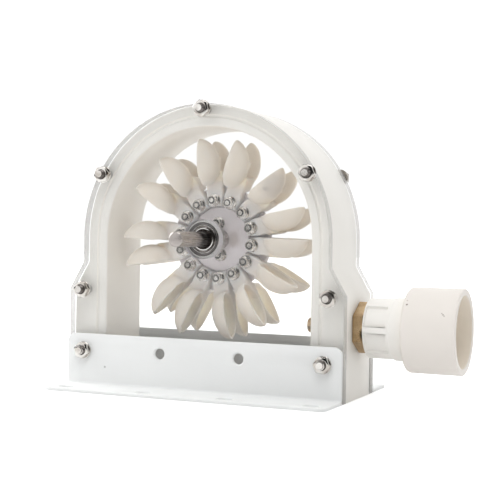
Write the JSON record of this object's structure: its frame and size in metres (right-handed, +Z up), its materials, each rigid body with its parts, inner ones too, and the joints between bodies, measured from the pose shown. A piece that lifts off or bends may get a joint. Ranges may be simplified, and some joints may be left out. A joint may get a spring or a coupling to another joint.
{
  "type": "bench pelton turbine",
  "caption": "Small pelton turbine: white arched housing with clear sides, bolted twin-bowl buckets on a steel shaft, angle feet and a pipe inlet.",
  "frame": {"origin": "on the floor under the middle of the whole part's box", "axes": "+Z up, -Y out of the front where the long shaft end stands out, +X towards the pipe inlet"},
  "size_m": [0.2708, 0.1336, 0.1954],
  "materials": {
    "body_plastic": "satin white",
    "clear_panel": "clear acrylic",
    "white_coat": "white powder coat",
    "bolt_steel": "bright stainless steel",
    "bearing_steel": "ground bearing steel",
    "shaft_steel": "turned steel",
    "hub_resin": "matt lilac white",
    "bucket_resin": "matt ivory",
    "brass": "dull machined brass",
    "pipe_white": "white moulded",
    "pipe_cream": "warm white moulded"
  },
  "bodies": {
    "housing": {"housing_body": "body_plastic", "front_panel": "clear_panel", "rear_panel": "clear_panel", "front_bracket": "white_coat", "rear_bracket": "white_coat", "nozzle": "brass", "pipe_adapter": "pipe_white", "pipe_socket": "pipe_cream", "front_bearing_outer_ring": "bearing_steel", "rear_bearing_outer_ring": "bearing_steel", "tie_bolt_top": "bolt_steel", "tie_bolt_upper_left": "bolt_steel", "tie_bolt_upper_right": "bolt_steel", "tie_bolt_mid_left": "bolt_steel", "tie_bolt_mid_right": "bolt_steel", "tie_bolt_lower_left": "bolt_steel", "tie_bolt_lower_right": "bolt_steel"},
    "wheel": {"front_bearing_inner_ring": "bearing_steel", "rear_bearing_inner_ring": "bearing_steel", "shaft": "shaft_steel", "hub_disc": "hub_resin", "shaft_flange": "shaft_steel", "shaft_spacer": "shaft_steel", "bucket_01": "bucket_resin", "bucket_02": "bucket_resin", "bucket_03": "bucket_resin", "bucket_04": "bucket_resin", "bucket_05": "bucket_resin", "bucket_06": "bucket_resin", "bucket_07": "bucket_resin", "bucket_08": "bucket_resin", "bucket_09": "bucket_resin", "bucket_10": "bucket_resin", "bucket_11": "bucket_resin", "bucket_12": "bucket_resin", "bucket_13": "bucket_resin", "bucket_14": "bucket_resin"}
  },
  "joints": [
    {"name": "wheel_spin", "type": "hinge", "parent": "housing", "child": "wheel", "pos_m": [-0.0349, 0.00185, 0.103], "axis": [0, 1, 0], "continuous": true}
  ]
}
